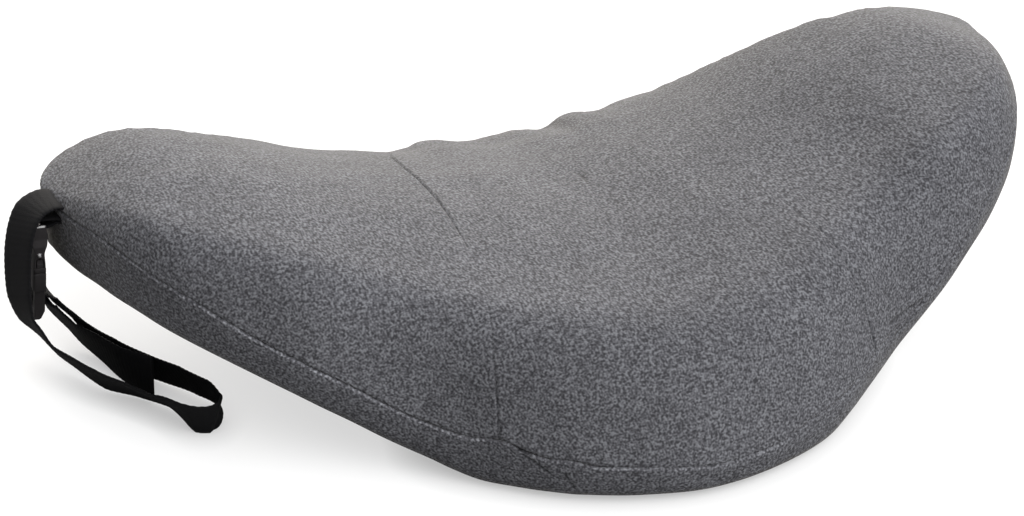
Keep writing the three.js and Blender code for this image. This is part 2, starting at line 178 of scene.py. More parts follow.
# How the sewn cloth lies: lengths in millimetres unless they are shares
LIP_AT = 2.2              # the folded cloth stands up this far from a seam, in widths of its groove
LIP_WIDTH = 0.9
TOP_LIP = 0.3             # share of the lip on the top panels
PULL = Waves(26, 5)       # a seam is drawn in unevenly along its length
PULL_SHARE = 0.25
FAINTEST = 0.3            # share of its depth that the front seam keeps where it is faintest
PUCKERS = Waves(13, 8)    # small puckers beside the edge seams
PUCKER_DEPTH = 0.5
PUCKER_REACH = 7
UNDER_SEAM_DEPTH = 0.8    # share of the edge seams' depth
SOFT_WAVES = ((0.6, Waves(85, 2)), (0.4, Waves(38, 3)))

RoutePoint = namedtuple("RoutePoint", "x y z lean turn")

# The strap's route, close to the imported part's: the middle of the webbing, how far its front edge is raised
# and how far its width is turned from straight to the front, in degrees
STRAP_ROUTE = table(
    RoutePoint, (-246, 8.3, 81.4, 3, 9), (-255.4, 8.3, 82.6, 3, 14), (-263.4, 6.5, 80.2, 6, 20),
    (-268.8, 2.4, 74.2, 12, 22), (-272.6, -2.5, 65.3, 16, 23), (-274.9, -8.2, 55.4, 20, 23),
    (-276.2, -14.1, 45.6, 22, 20), (-274.8, -19, 36.4, 25, 12), (-270.4, -23.3, 30.2, 31, 0),
    (-264.4, -28.9, 21.5, 42.9, -19.5), (-257.5, -35.7, 16.9, 41.4, -10.6),
    (-247.3, -48, 12.3, 52.8, -20.7), (-234.4, -61.3, 11.3, 46, -21.7), (-222.8, -77.5, 11.5, 44.2, -41.8),
    (-214.4, -94.2, 11.2, 64.1, -20), (-205.3, -97.2, 10.6, 64.9, -14.8), (-201.9, -94.1, 11.2, 44.2, -9),
    (-200, -82, 12.8, 54.7, -23.5), (-207.9, -65.7, 12.9, 56.5, -18.1), (-219.1, -49, 12, 58.1, -16.8),
    (-232.6, -29.4, 11.7, 64.1, -18.7), (-241.8, -11.2, 12.9, 49.5, -7.8), (-250.2, 2, 20.6, 30, -4),
    (-256.2, 8.8, 26.2, 29, 0),
)
TAIL_ROUTE = table(
    RoutePoint, (-257.6, 9.3, 21.8, 33, 2), (-252.2, 1.8, 16, 36.5, -3), (-247.2, -8.6, 12.4, 43, -5),
    (-241.2, -23.4, 12.6, 57, -6), (-234.2, -40.8, 12.8, 74, -12), (-223.8, -58.2, 13.2, 96, -14),
)
TAB_OUT = table(
    RoutePoint, (-243, 6.5, 75.6, -4, 10), (-251, 9.5, 77, -2, 5),
)
TAB_BACK = table(
    RoutePoint, (-257.4, 11, 73, 0, 0), (-251, 9.5, 75, -2, 5), (-243, 6.5, 73.6, -4, 10),
)

# The buckle's own frame has X through its thickness, Y across and Z along it
BUCKLE_PLACE = Vector((-264.1, 11, 50))
BUCKLE_TURN = Matrix.Rotation(math.radians(5.3), 3, "Y")
SOCKET_BAR_AT = 24.2      # height of the bar that the tab goes round, in the buckle's frame
SOCKET_WRAP = 3.4         # the tab's middle lies this far round it
SOCKET_TURN = (80, 290, 8)  # from this angle round the bar to this one, and the points on the way
ADJUSTER_BAR_AT = -15.3   # the same for the adjuster's bar, which the strap goes round
ADJUSTER_WRAP = 2.5
ADJUSTER_TURN = (80, 280, 7)
ADJUSTER_SIDE = 4.6       # the strap comes in and goes out this far behind the buckle's middle
ADJUSTER_ENTER = -16
ADJUSTER_LEAVE = -19.8

Share = namedtuple("Share", "z share")

# The buckle's thickness along its length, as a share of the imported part's
BUCKLE_WAIST = table(
    Share, (-26, 0.85), (-14, 0.86), (-8, 0.8), (2, 0.76), (7, 0.68), (11.2, 0.6), (14.2, 0.78), (17, 1),
    (26, 1),
)
# The same for the two ends of the socket's bar, which are thicker than the bar
BAR_ENDS = table(
    Share, (18.35, 2.7), (20.5, 2.75), (22.6, 2.4), (24.4, 2.3), (26, 2.1),
)
BAR_ENDS_FROM = 12.95     # from this far to the side
BESIDE_CUT = 0.1          # so that the points on the cut itself stay
WAIST_FROM_END = 1        # the first level where the halves are cut for their waist, from their end
WAIST_SPACING = 1.1
BAR_HALF = 1.8            # only what is no thicker than this either way, as the bar is
CAP_FROM = 16.62          # where the press caps start, from the buckle's middle
CAP_HALF = 2.9            # half its thickness
CAP_ROUND = 0.5           # radius of its edges
PRESS_CAP = ((-8.8, 1.1, 1.1), (1.5, 3.9, 0.7))  # the length of each cap, and how far it stands out
STUD_AT = (16.3, 11.2)    # to the side and up
STUD_RADIUS = 1.75
STUD_FLATNESS = 0.4
STUD_FACES = (0.06, 0.69, 0.72)  # the way each stud's flat face is turned
POLISHED_FROM = 24.9      # the top of the socket half is smooth from this height


# Properties that a user would change

def linear(hex_colour):
    """The linear colour of an sRGB hex value, with full alpha."""
    parts = [int(hex_colour[i:i + 2], 16) / 255 for i in (1, 3, 5)]
    return tuple(c / 12.92 if c <= 0.04045 else ((c + 0.055) / 1.055) ** 2.4 for c in parts) + (1.0,)


def length(name, description, default):
    """A length property, given in millimetres."""
    return FloatProperty(name=name, description=description, default=default * MM, unit="LENGTH")


def colour(name, description, hex_colour):
    """A colour property, given as an sRGB hex value."""
    return FloatVectorProperty(name=name, description=description, default=linear(hex_colour), size=4,
                               subtype="COLOR", min=0, max=1)


class PillowCoverSettings(bpy.types.PropertyGroup):
    """The knit cover."""
    seam_depth: length("Seam depth", "How deep the edge seams are drawn in", 1.7)
    seam_width: length("Seam width", "Half width of a seam's groove", 0.6)
    seam_lip: length("Seam lip", "How far the folded cloth beside a seam stands up", 0.5)
    stitch: length("Stitch", "From one stitch of a seam to the next", 2.8)
    softness: length("Softness", "How uneven the cloth lies over the foam", 0.55)
    dark_fibre: colour("Dark fibre", "The darkest fibres of the melange", "#303033")
    base: colour("Ground", "The cover's own grey", "#4b4b4f")
    light_fibre: colour("Light fibre", "The lightest fibres of the melange", "#67686c")


class PillowStrapSettings(bpy.types.PropertyGroup):
    """The webbing."""
    width: length("Width", "Width of the webbing", 25)
    thickness: length("Thickness", "Thickness of the webbing", 1.6)
    rib_pitch: length("Rib pitch", "From one raised rib of the weave to the next", 2.8)
    rib_height: length("Rib height", "How far the ribs stand up", 0.035)
    scallop: length("Scallop", "How far the woven edge swells at each rib", 0.4)
    dye: colour("Dye", "The black of the webbing", "#0b0b0d")


class PillowBuckleSettings(bpy.types.PropertyGroup):
    """The side release buckle."""
    edge_radius: length("Edge radius", "Radius of the moulded edges", 0.5)
    plastic: colour("Plastic", "The black of the moulded plastic", "#2a2829")


class PillowStageSettings(bpy.types.PropertyGroup):
    """Floor, light and camera."""
    azimuth: FloatProperty(name="Azimuth", description="Camera's turn to the left of the front",
                           default=math.radians(20.64), subtype="ANGLE")
    elevation: FloatProperty(name="Elevation", description="Camera's height above the horizon",
                             default=math.radians(30), subtype="ANGLE")
    distance: length("Distance", "From the camera to the middle of the pillow", 1450)
    backdrop: colour("Backdrop", "The pale floor and backdrop", "#a0a0a0")
    glow: FloatProperty(name="Glow", description="How strongly the floor is lit from below", default=0.62)


# Materials

def add(tree, kind, inputs=None, **settings):
    """Adds a node with its settings. Its inputs are values, or the nodes or outputs that feed them.

    A node feeds an input by the first of its outputs in use.
    """
    new = tree.nodes.new("ShaderNode" + kind)
    for name, value in settings.items():
        setattr(new, name, value)
    for name, value in (inputs or {}).items():
        if isinstance(value, bpy.types.Node):
            value = next(output for output in value.outputs if output.enabled)
        if isinstance(value, bpy.types.NodeSocket):
            tree.links.new(value, new.inputs[name])
        else:
            new.inputs[name].default_value = value
    return new


def new_material(name):
    """A material with an empty tree, and the tree."""
    material = bpy.data.materials.new(name)
    material.use_nodes = True
    material.node_tree.nodes.clear()
    return material, material.node_tree


def millimetres(tree):
    """The place on the piece in millimetres, for patterns."""
    place = add(tree, "TexCoord").outputs["Object"]
    return add(tree, "Mapping", {"Vector": place, "Scale": (1000, 1000, 1000)})


NOISE = (0.3, 0.7)        # the usual range of a noise


def rescale(start, end, low, high):
    """Inputs that bring start to low and end to high."""
    return {"From Min": start, "From Max": end, "To Min": low, "To Max": high}


def set_ramp(ramp, stops):
    """Sets a colour ramp's stops, each (place, colour)."""
    elements = ramp.color_ramp.elements
    while len(elements) < len(stops):
        elements.new(1.0)
    for element, (place, value) in zip(elements, stops):
        element.position = place
        element.color = value
    return ramp


# How a seam is painted across, this far to each side: red is the painted shade of its groove and green the
# painted highlight on its folded edge
SEAM_HALF = 3
SEAM_PROFILE = ((0.38, (0, 0, 0, 1)), (0.5, (0.45, 0, 0, 1)), (0.58, (0.05, 0.2, 0, 1)),
                (0.68, (0, 1, 0, 1)), (0.8, (0, 0, 0, 1)))
SEAM_VALUES = ("from_seam", "along_seam", "seam_painted_shade", "seam_painted_highlight")


def seam_tone(tree, settings):
    """Painted shade in the seams' grooves and in creases, and a painted highlight on the band's folded edge
    between stitches.
    """
    away, along, dark, light, crease_shade_depth = (
        add(tree, "Attribute", attribute_name=name).outputs["Fac"] for name in (*SEAM_VALUES, "crease_shade_depth"))
    share = add(tree, "MapRange", {"Value": away, **rescale(-SEAM_HALF, SEAM_HALF, 0, 1)})
    profile = set_ramp(add(tree, "ValToRGB", {"Fac": share}), SEAM_PROFILE)
    parts = add(tree, "SeparateColor", {"Color": profile}).outputs
    turn = add(tree, "Math", {0: along, 1: 2 * math.pi / (settings.stitch / MM)}, operation="MULTIPLY")
    wave = add(tree, "Math", {0: turn}, operation="SINE")
    between = add(tree, "MapRange", {"Value": wave, **rescale(-0.5, 0.7, 0.2, 1.1)})
    # painted highlight on the folded edge, in dashes between stitches
    painted_stitch_highlight = add(tree, "Math", {0: parts["Green"], 1: between}, operation="MULTIPLY")
    # painted shade in the groove along the seam
    painted_groove_shade = add(tree, "Math", {0: parts["Red"], 1: dark}, operation="MULTIPLY")
    drawn = add(tree, "Math", {0: painted_stitch_highlight, 1: light, 2: 1}, operation="MULTIPLY_ADD")
    seam = add(tree, "Math", {0: drawn, 1: painted_groove_shade}, operation="SUBTRACT")
    # painted shade in the creases
    painted_crease_shade = add(tree, "MapRange", {"Value": crease_shade_depth, **rescale(0, CREASE_FULL, 1, 0.3)})
    return add(tree, "Math", {0: seam, 1: painted_crease_shade}, operation="MULTIPLY")


def melange_jersey(settings):
    """Polyester and viscose jersey, knitted from melange yarn and brushed.

    Dark and light fibres show as specks, drawn about 2.6 mm apart, twice the real stitch, so that they
    show at the render's scale. The brushed face gives no gloss and a soft light rim.
    """
    material, tree = new_material("melange_jersey_knit")
    in_mm = millimetres(tree)
    knit = add(tree, "Mapping", {"Vector": in_mm, "Scale": (1, 0.5, 1)})
    speck = add(tree, "TexNoise", {"Vector": knit, "Scale": 0.95, "Detail": 0})
    drawn = add(tree, "Mapping", {"Vector": in_mm, "Rotation": (0.3, 0.2, math.radians(38)),
                                  "Scale": (0.6, 1.2, 0.8)})
    fibre = add(tree, "TexNoise", {"Vector": drawn, "Scale": 1.15, "Detail": 0})
    both = add(tree, "Mix", {"A": speck, "B": fibre, "Factor": 0.4}, data_type="FLOAT")
    spread = set_ramp(add(tree, "ValToRGB", {"Fac": both}),
                      [(0.32, settings.dark_fibre), (0.5, settings.base), (0.68, settings.light_fibre)])
    cloud = add(tree, "TexNoise", {"Vector": in_mm, "Scale": 0.03, "Detail": 2, "Roughness": 0.5})
    tone = add(tree, "MapRange", {"Value": cloud, **rescale(*NOISE, 0.94, 1.06)})
    # random tone times the painted shade of seams and creases and the painted highlight on the seams' edges
    shade = add(tree, "Math", {0: tone, 1: seam_tone(tree, settings)}, operation="MULTIPLY")
    base = add(tree, "VectorMath", {0: spread, 1: shade}, operation="MULTIPLY")
    bump = add(tree, "Bump", {"Height": both, "Strength": 0.35, "Distance": 0.0012})
    shader = add(tree, "BsdfPrincipled", {
        "Base Color": base, "Normal": bump, "Roughness": 0.92, "IOR": 1.46, "Specular IOR Level": 0.2,
        "Sheen Weight": 0.15, "Sheen Roughness": 0.3, "Sheen Tint": linear("#f4ecdc")})
    add(tree, "OutputMaterial", {"Surface": shader})
    return material


def grained(tree, scale, tones, dye, strength, height):
    """A fine grain: its noise, the colour that it makes uneven, and its bump."""
    in_mm = millimetres(tree)
    noise = add(tree, "TexNoise", {"Vector": in_mm, "Scale": scale, "Detail": 2, "Roughness": 0.6})
    tone = add(tree, "MapRange", {"Value": noise, **rescale(*NOISE, *tones)})
    base = add(tree, "VectorMath", {0: dye[:3], 1: tone}, operation="MULTIPLY")
    return noise, base, add(tree, "Bump", {"Height": noise, "Strength": strength, "Distance": height * MM})


def nylon_webbing(settings):
    """Dyed nylon webbing, woven in ribs: near black, with a dull shine on the ribs."""
    material, tree = new_material("nylon_webbing_black")
    _, base, bump = grained(tree, 1.4, (0.6, 1.5), settings.dye, 0.4, 0.4)
    shader = add(tree, "BsdfPrincipled", {"Base Color": base, "Normal": bump, "Roughness": 0.85,
                                          "IOR": 1.53, "Specular IOR Level": 0.12})
    add(tree, "OutputMaterial", {"Surface": shader})
    return material


def moulded_acetal(settings):
    """Black acetal from a spark-eroded mould: dull and finely grained, with a few smooth glossy places."""
    material, tree = new_material("moulded_acetal_black")
    grain, base, bump = grained(tree, 3.5, (0.9, 1.12), settings.plastic, 0.15, 0.2)
    rough = add(tree, "MapRange", {"Value": grain, **rescale(*NOISE, 0.8, 0.9)})
    polished = add(tree, "Attribute", attribute_name="polished").outputs["Fac"]
    gloss = add(tree, "Mix", {"Factor": polished, "A": rough, "B": 0.16}, data_type="FLOAT")
    level = add(tree, "MapRange", {"Value": polished, **rescale(0, 1, 0.15, 1)})
    shader = add(tree, "BsdfPrincipled", {"Base Color": base, "Normal": bump, "Roughness": gloss,
                                          "IOR": 1.48, "Specular IOR Level": level})
    add(tree, "OutputMaterial", {"Surface": shader})
    return material


def lit_acrylic(settings):
    """Matt opal acrylic that glows for the camera, so that only faint shadows stay on it, with a painted
    contact shadow where the pillow lies close.
    """
    material, tree = new_material("lit_opal_acrylic")
    seen = add(tree, "LightPath").outputs["Is Camera Ray"]
    # painted contact shadow: the glow is dimmed where the pillow lies close
    open_sky = add(tree, "AmbientOcclusion", {"Distance": 0.014}).outputs["AO"]
    clear = add(tree, "MapRange", {"Value": open_sky, **rescale(0, 1, 0.6, 1)})
    lit = add(tree, "Math", {0: seen, 1: clear}, operation="MULTIPLY")
    glow = add(tree, "Math", {0: lit, 1: settings.glow}, operation="MULTIPLY")
    shader = add(tree, "BsdfPrincipled", {
        "Base Color": settings.backdrop, "Roughness": 0.9, "Specular IOR Level": 0.1,
        "Emission Color": (1, 1, 1, 1), "Emission Strength": glow})
    add(tree, "OutputMaterial", {"Surface": shader})
    return material


# Curves and surfaces

def through(rows, name, at):
    """Smooth curve through a named column of a table, keyed by its first column, level at the start."""
    keys = np.array([r[0] for r in rows], float)
    values = np.array([getattr(r, name) for r in rows], float)
    slopes = np.zeros(len(rows))
    slopes[1:-1] = (values[2:] - values[:-2]) / (keys[2:] - keys[:-2])
    slopes[-1] = (values[-1] - values[-2]) / (keys[-1] - keys[-2])
    i = np.clip(np.searchsorted(keys, at, side="right") - 1, 0, len(rows) - 2)
    step = keys[i + 1] - keys[i]
    u = (at - keys[i]) / step
    return ((1 + 2 * u) * (1 - u) ** 2 * values[i] + u * (1 - u) ** 2 * step * slopes[i]
            + u * u * (3 - 2 * u) * values[i + 1] + u * u * (u - 1) * step * slopes[i + 1])


def mix(pair, share):
    """The value at a share of the way from one number of a pair to the other."""
    return pair[0] + (pair[1] - pair[0]) * share


def run_along(path):
    """How far along a path each of its points lies."""
    return np.concatenate([[0], np.cumsum(np.linalg.norm(np.diff(path, axis=0), axis=1))])


def table_x(points):
    """X of each point, kept within the tables that follow it."""
    return np.clip(points[..., 0], -WING_LENGTH, WING_LENGTH)


def spine(along):
    """Plan of the wing's middle line, from short steps along its heading."""
    steps = 240
    turn = np.radians(through(WING, "heading", (np.arange(steps) + 0.5) / steps))
    x = np.concatenate([[0], np.cumsum(np.cos(turn))]) * WING_LENGTH / steps
    y = np.concatenate([[0], np.cumsum(np.sin(turn))]) * WING_LENGTH / steps
    at = np.linspace(0, 1, steps + 1)
    return np.interp(along, at, x), np.interp(along, at, y)


def wing_surface(side, row, across, height, inset=0, proud=0):
    """Points of a wing, drawn on the right. row and across place them in plan, height gives Z from the
    section's sizes, inset moves them in from the edge and proud out past it."""
    shift = through(CROSS_SEAM, side, across) - SEAM_ROW
    along = row + shift * np.where(row < SEAM_ROW, row / SEAM_ROW, (1 - row) / (1 - SEAM_ROW))
    heading, belly, hollow, crown, lift, band = (
        through(WING, name, along) for name in Section._fields[1:])
    turn = np.radians(heading)
    past = np.clip((along - ROUND_FROM) / (1 - ROUND_FROM), 0, 1)
    closing = np.sqrt(1 - past * past)
    x, y = spine(along)
    belly *= closing
    hollow *= closing
    belly_x, belly_y = x + np.sin(turn) * belly, y - np.cos(turn) * belly
    hollow_x, hollow_y = np.maximum(0, x - np.sin(turn) * hollow), y + np.cos(turn) * hollow
    width = np.hypot(belly_x - hollow_x, belly_y - hollow_y)
    share = across + np.minimum(UNDER_INSET / np.maximum(width, 1), INSET_SHARE) * inset
    z = height(along, share, np.maximum(0, lift), band, crown * closing)
    plan_x = hollow_x + (belly_x - hollow_x) * share + np.sin(turn) * proud * closing
    plan_y = hollow_y + (belly_y - hollow_y) * share - np.cos(turn) * proud * closing
    return np.stack([plan_x, plan_y, z], -1)


def crown_height(along, across, lift, band, crown):
    """Z of the top: the crown rises from both edges to its crest near the belly."""
    crest = mix(CREST, along)
    hollow_side = across < crest
    far = np.where(hollow_side, (crest - across) / crest, (across - crest) / (1 - crest))
    power = np.where(hollow_side, HOLLOW_FULLNESS, mix(BELLY_FULLNESS, along))
    return lift + band + crown * (1 - far ** power)


def cosine_steps(start, end, count):
    """count steps from start to end, closer at both ends, with both ends given."""
    return start + (end - start) * (0.5 - 0.5 * np.cos(np.linspace(0, math.pi, count + 1)))


TOP_COLUMNS = 120
BAND_COLUMNS = 14
ROUND_COLUMNS = 12
UNDER_COLUMNS = 36
UNDER_SEAM_ANGLE = 50     # where the underside seam lies on the band's rounded lower edge, in degrees

Ring = namedtuple("Ring", "kind place value")


def ring_columns():
    """The columns of a ring round a wing: the kind of each, its place from the hollow edge (0) to the belly
    edge (1), and its height on the band or its angle on the rounded edge."""
    angles = np.concatenate([cosine_steps(0, UNDER_SEAM_ANGLE, ROUND_COLUMNS // 2)[1:],
                             cosine_steps(UNDER_SEAM_ANGLE, 90, ROUND_COLUMNS // 2)[1:]])
    hollow, belly = ([*(("band", side, up) for up in cosine_steps(1, 0, BAND_COLUMNS)[1:]),
                      *(("round", side, angle) for angle in angles)] for side in (0, 1))
    columns = [("top", across, 0) for across in cosine_steps(0, 1, TOP_COLUMNS)] + belly
    columns += [("under", across, 0) for across in np.linspace(1, 0, UNDER_COLUMNS + 1)[1:-1]]
    return Ring(*(np.array(part) for part in zip(*columns, *hollow[::-1])))


def under_seams(ring):
    """The two columns that lie on the underside seam."""
    return np.flatnonzero((ring.kind == "round") & np.isclose(ring.value, UNDER_SEAM_ANGLE))


ROWS_BY_SEAM = (0, 0.4, 0.9, 1.5, 2.3, 3.4)  # millimetres from a cross seam, to each side
INNER_ROWS = 46           # between the middle and the cross seam
OUTER_ROWS = 40           # and from there on
TIP_ROWS = 92             # which close up towards the tip
TIP_ROWS_FROM = 0.55
LAST_ROW = 0.99999


def wing_rows():
    """Rows from the middle to the tip, close together at the cross seam and towards the tip."""
    near = SEAM_ROW + np.array([-step for step in ROWS_BY_SEAM[:0:-1]] + list(ROWS_BY_SEAM)) / WING_LENGTH
    inner = np.linspace(0, near[0], INNER_ROWS)[:-1]
    outer = np.linspace(near[-1], TIP_ROWS_FROM, OUTER_ROWS)[1:]
    tip = mix((TIP_ROWS_FROM, LAST_ROW), np.sin(np.linspace(0, math.pi / 2, TIP_ROWS))[1:])
    return np.concatenate([inner, near, outer, tip])


def column_points(side, rows, kind, place, value):
    """One column of a wing's grid, from the middle to the tip."""
    edge = np.full(len(rows), place)
    outward = 1 if place == 1 else -1
    if kind == "top":
        return wing_surface(side, rows, edge, crown_height)
    if kind == "under":
        return wing_surface(side, rows, edge, lambda a, s, lift, b, c: lift, inset=1 - 2 * place)
    if kind == "band":
        return wing_surface(side, rows, edge,
                            lambda a, s, lift, band, c: lift + UNDER_ROUND + (band - UNDER_ROUND) * value,
                            proud=outward * BAND_BULGE * math.sin(math.pi * value))
    angle = math.radians(value)
    return wing_surface(side, rows, edge,
                        lambda a, s, lift, b, c: lift + UNDER_ROUND * (1 - math.sin(angle)),
                        inset=-outward * (1 - math.cos(angle)))


def pillow_grid():
    """The grid over the whole pillow, [row, column, xyz] in millimetres, with its rows and columns."""
    rows, ring = wing_rows(), ring_columns()
    left, right = (np.stack([column_points(side, rows, *column) for column in zip(*ring)], 1)
                   for side in ("left", "right"))
    left[..., 0] *= -1
    return np.concatenate([left[:0:-1], right]), np.concatenate([-rows[:0:-1], rows]), ring


def grid_normals(points):
    """Normals of a grid that closes on itself along its columns, pointing out."""
    along = np.gradient(points, axis=0)
    round_it = np.roll(points, -1, 1) - np.roll(points, 1, 1)
    normal = np.cross(round_it, along)
    return normal / np.maximum(np.linalg.norm(normal, axis=-1, keepdims=True), 1e-9)


def ring_distance(points, column):
    """Distance of each point from a column, measured round its ring."""
    step = np.linalg.norm(np.roll(points, -1, 1) - points, axis=-1)
    run = np.concatenate([np.zeros((len(points), 1)), np.cumsum(step, 1)], 1)
    total = run[:, -1:]
    away = np.abs(run[:, :-1] - run[:, column:column + 1])
    return np.minimum(away, total - away)


def cross_seams(points, rows):
    """Each seam across the top: the name of its depth, its row, and how far from it each point lies,
    measured along the columns."""
    step = np.linalg.norm(np.diff(points, axis=0), axis=-1)
    run = np.concatenate([np.zeros((1, points.shape[1])), np.cumsum(step, 0)])
    for sign, name in ((-1, "left_depth"), (1, "right_depth")):
        row = int(np.argmin(np.abs(rows - sign * SEAM_ROW)))
        yield name, row, np.abs(run - run[row])


def uneven(points, waves):
    """Smooth unevenness from -1 to 1, the same at each run."""
    draw = np.random.default_rng(waves.seed)
    total = np.zeros(points.shape[:-1])
    count = 14
    for _ in range(count):
        direction = draw.normal(size=3)
        direction *= draw.uniform(0.6, 1.5) / (waves.length * np.linalg.norm(direction))
        total += np.sin(2 * math.pi * (points @ direction) + draw.uniform(0, 2 * math.pi))
    return total / math.sqrt(count * 2)


def smooth_step(value):
    """0 to 1, level at both ends."""
    value = np.clip(value, 0, 1)
    return value * value * (3 - 2 * value)


def relief(points, rows, ring, sizes):
    """How far the cloth stands out from the plain form at each point, in millimetres."""
    depth, width, lip, softness = (
        getattr(sizes, name) / MM for name in ("seam_depth", "seam_width", "seam_lip", "softness"))
    top = ring.kind == "top"
    out = np.zeros(points.shape[:-1])

    def seam(distance, deep, lipped=1.0):
        """A seam's groove, with the folded cloth that stands up beside it."""
        groove = -deep * np.exp(-distance / width)
        folded = lip * deep / depth * np.exp(-(((distance - LIP_AT * width) / (LIP_WIDTH * width)) ** 2))
        return groove + folded * lipped

    pull = uneven(points, PULL)
    for column in (0, TOP_COLUMNS):
        away = ring_distance(points, column)
        deep = depth * (1 + PULL_SHARE * pull)
        if column == TOP_COLUMNS:
            deep = deep * mix((FAINTEST, 1), through(SEAM_SHOWN, "dark", table_x(points)))
        out += seam(away, deep, np.where(top, TOP_LIP, 1))
        out -= PUCKER_DEPTH * np.exp(-(away / PUCKER_REACH) ** 2) * np.abs(uneven(points, PUCKERS))
    for column in under_seams(ring):
        out += seam(ring_distance(points, column), UNDER_SEAM_DEPTH * depth)
    for name, _, away in cross_seams(points, rows):
        out += seam(away, through(CROSS_SEAM, name, ring.place)) * top
    out += FULLNESS * np.exp(-((np.linalg.norm(points - FULL_AT, axis=-1) / FULL_REACH) ** 2))
    lying = sum(share * uneven(points, waves) for share, waves in SOFT_WAVES)
    out += softness * (ring.kind != "under") * lying
    top_width = np.linalg.norm(points[:, 0] - points[:, TOP_COLUMNS], axis=-1)
    return out * smooth_step(top_width / TIP_FADE)[:, None]


def draw_creases(mesh):
    """Cuts the faces beside each crease finer, sinks the crease into them and keeps its depth at each point
    for the crease's painted shade.
    """
    work = bmesh.new()
    work.from_mesh(mesh)
    crease_shade_depth = work.verts.layers.float["crease_shade_depth"]
    for crease in CREASES:
        start, line = Vector(crease.start), Vector(crease.end) - Vector(crease.start)

        def away_from(vert):
            """The way to a point from the crease, and the share of the crease's length beside it."""
            share = (vert.co / MM - start).dot(line) / line.length_squared
            return vert.co / MM - start - line * min(max(share, 0), 1), share

        near = [edge for edge in work.edges
                if all(away_from(vert)[0].length < CREASE_REACH for vert in edge.verts)]
        bmesh.ops.subdivide_edges(work, edges=near, cuts=CREASE_CUTS, use_grid_fill=True)
        work.normal_update()
        moved = []
        for vert in work.verts:
            away, share = away_from(vert)
            if away.length < 2 * CREASE_REACH:
                away -= vert.normal * away.dot(vert.normal)
                ends = (smooth_step((share + CREASE_PAST) / CREASE_FADE)
                        * smooth_step((1 + CREASE_PAST - share) / CREASE_FADE))
                sunk = math.exp(-((away.length / crease.width) ** 2)) * ends
                moved.append((vert, vert.normal * crease.depth * sunk * MM))
                vert[crease_shade_depth] = max(vert[crease_shade_depth], crease.depth * sunk)
        for vert, inward in moved:
            vert.co -= inward
    work.to_mesh(mesh)
    work.free()


def seam_places(points, rows, ring):
    """How far each point lies from the nearest seam, below 0 on the top panels, where along it, and how
    strong the painted shade in its groove and the painted highlight on its edge are."""
    top = ring.kind == "top"
    front = [through(SEAM_SHOWN, name, table_x(points)) for name in ("dark", "light")]
    seams = [(np.where(top, -1, 1) * ring_distance(points, column), run_along(points[:, column])[:, None],
              *(front if column == TOP_COLUMNS else OTHER_SEAMS_SHOWN))
             for column in (0, TOP_COLUMNS, *under_seams(ring))]
    for name, row, distance in cross_seams(points, rows):
        # the painted shade of a cross seam grows with its depth
        dark = smooth_step(through(CROSS_SEAM, name, ring.place) / CROSS_SEAM_FULL)
        seams.append((np.where(top, -distance, np.inf), run_along(points[row]), dark, 0))
    nearest = [np.full(points.shape[:-1], np.inf), 0, 0, 0]
    for seam in seams:
        near = np.abs(seam[0]) < np.abs(nearest[0])
        nearest = [np.where(near, new, old) for new, old in zip(seam, nearest)]
    return nearest


def sewn_rise(points, ring):
    """Height that the sewn cover gains over the plain form."""
    kind, place, value = ring
    x = table_x(points)
    belly_band = (kind == "band") & (place == 1)
    reach = mix(EDGE_REACH, smooth_step((np.abs(x) - REACH_FROM) / REACH_OVER))
    at_hollow = (np.maximum(0, 1 - np.where(kind == "top", place, 1) / reach) ** 2
                 + np.where((kind == "band") & (place == 0), value, 0))
    at_front = np.where(kind == "top", np.maximum(0, place - PANEL_FOLLOWS_FROM) ** 2 * PANEL_FOLLOWS,
                        np.where(belly_band, value, 0))
    low = np.where(kind == "under", place, np.where((kind == "round") & (place == 1), 1,
                                                    np.where(belly_band, 1 - value, 0)))
    return (at_hollow * through(HOLLOW_EDGE, "amount", x) + at_front * through(FRONT_SEAM, "amount", x)
            + low * through(LOWER_EDGE, "amount", x))


def grid_mesh(name, points):
    """Mesh of a grid whose rings close on themselves, capped at both ends, from millimetres."""
    row_count, column_count = points.shape[:2]
    index = np.arange(row_count * column_count).reshape(row_count, column_count)
    here, there = index[:-1], index[1:]
    quads = np.stack([here, np.roll(here, -1, 1), np.roll(there, -1, 1), there], -1).reshape(-1, 4)
    mesh = bpy.data.meshes.new(name)
    mesh.from_pydata((points.reshape(-1, 3) * MM).tolist(), [],
                     [*quads.tolist(), index[0][::-1].tolist(), index[-1].tolist()])
    mesh.validate()
    mesh.shade_smooth()
    return mesh


def store(mesh, name, values):
    """Keeps a value at each of a mesh's points, for its material."""
    mesh.attributes.new(name, "FLOAT", "POINT").data.foreach_set("value", values.astype(np.float32).ravel())


def new_piece(name, mesh, material):
    """Puts a mesh in the scene as a piece of the part, riding on its one body."""
    piece = bpy.data.objects.new(name, mesh)
    bpy.context.scene.collection.objects.link(piece)
    piece.data.materials.clear()
    piece.data.materials.append(material)
    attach(piece, "root")
    return piece


# Webbing

SPLINE_STEPS = 24         # from one point of a route to the next
RING_SPACING = 0.45       # between rings of the finished webbing
EDGE_COLUMNS = 11         # half the points round a section of webbing
EDGE_CLOSER = 0.7         # power that brings those points closer to the woven edges
EDGE_SHARE = 0.12         # the woven edge's share of half the width
EDGE_ROUND = 14           # power that gives the section its rounded ends


